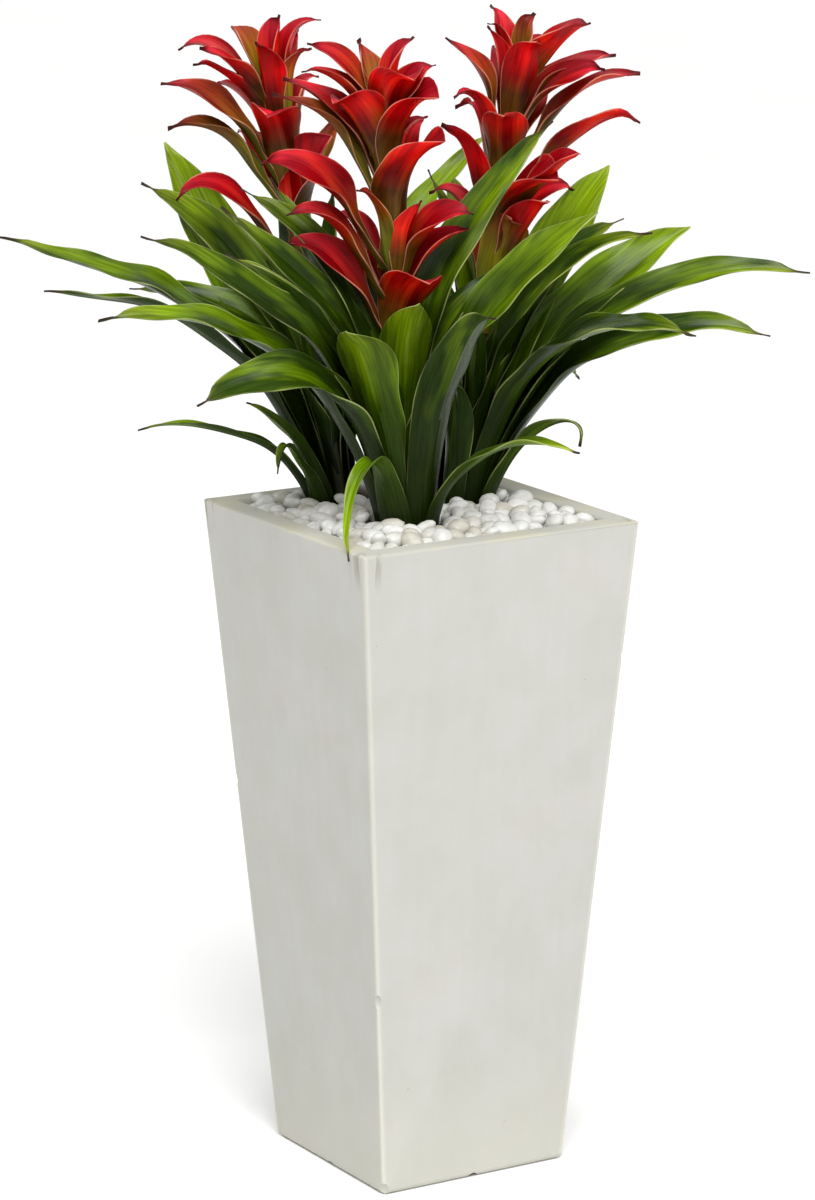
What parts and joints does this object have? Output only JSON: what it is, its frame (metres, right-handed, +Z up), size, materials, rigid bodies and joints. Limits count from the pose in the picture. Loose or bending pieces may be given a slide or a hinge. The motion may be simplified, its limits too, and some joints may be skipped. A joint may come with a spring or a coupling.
{
  "type": "potted bromeliad",
  "caption": "Three bromeliads with red bract heads and arching strap leaves, planted in a tall tapered square planter covered with white pebbles; stands on the floor.",
  "frame": {"origin": "middle of the planter's foot, on the floor", "axes": "+Z up along the planter, X and Y square to its sides"},
  "size_m": [0.5623, 0.4664, 0.9201],
  "materials": {
    "planter": "matte",
    "growing_medium": "matte",
    "pebbles": "satin",
    "leaf": "satin",
    "stem": "satin",
    "bract": "satin"
  },
  "bodies": {
    "root": {"planter": "planter", "growing_medium": "growing_medium", "pebbles": "pebbles", "left_stem": "stem", "left_leaf_01": "leaf", "left_leaf_02": "leaf", "left_leaf_03": "leaf", "left_leaf_04": "leaf", "left_leaf_05": "leaf", "left_leaf_06": "leaf", "left_leaf_07": "leaf", "left_leaf_08": "leaf", "left_leaf_09": "leaf", "left_leaf_10": "leaf", "left_leaf_11": "leaf", "left_leaf_12": "leaf", "left_leaf_13": "leaf", "left_bract_head": "bract", "centre_stem": "stem", "centre_leaf_01": "leaf", "centre_leaf_02": "leaf", "centre_leaf_03": "leaf", "centre_leaf_04": "leaf", "centre_leaf_05": "leaf", "centre_leaf_06": "leaf", "centre_leaf_07": "leaf", "centre_leaf_08": "leaf", "centre_leaf_09": "leaf", "centre_leaf_10": "leaf", "centre_leaf_11": "leaf", "centre_leaf_12": "leaf", "centre_leaf_13": "leaf", "centre_leaf_14": "leaf", "centre_leaf_15": "leaf", "centre_bract_head": "bract", "right_stem": "stem", "right_leaf_01": "leaf", "right_leaf_02": "leaf", "right_leaf_03": "leaf", "right_leaf_04": "leaf", "right_leaf_05": "leaf", "right_leaf_06": "leaf", "right_leaf_07": "leaf", "right_leaf_08": "leaf", "right_leaf_09": "leaf", "right_leaf_10": "leaf", "right_leaf_11": "leaf", "right_leaf_12": "leaf", "right_leaf_13": "leaf", "right_leaf_14": "leaf", "right_leaf_15": "leaf", "right_bract_head": "bract"}
  },
  "joints": []
}
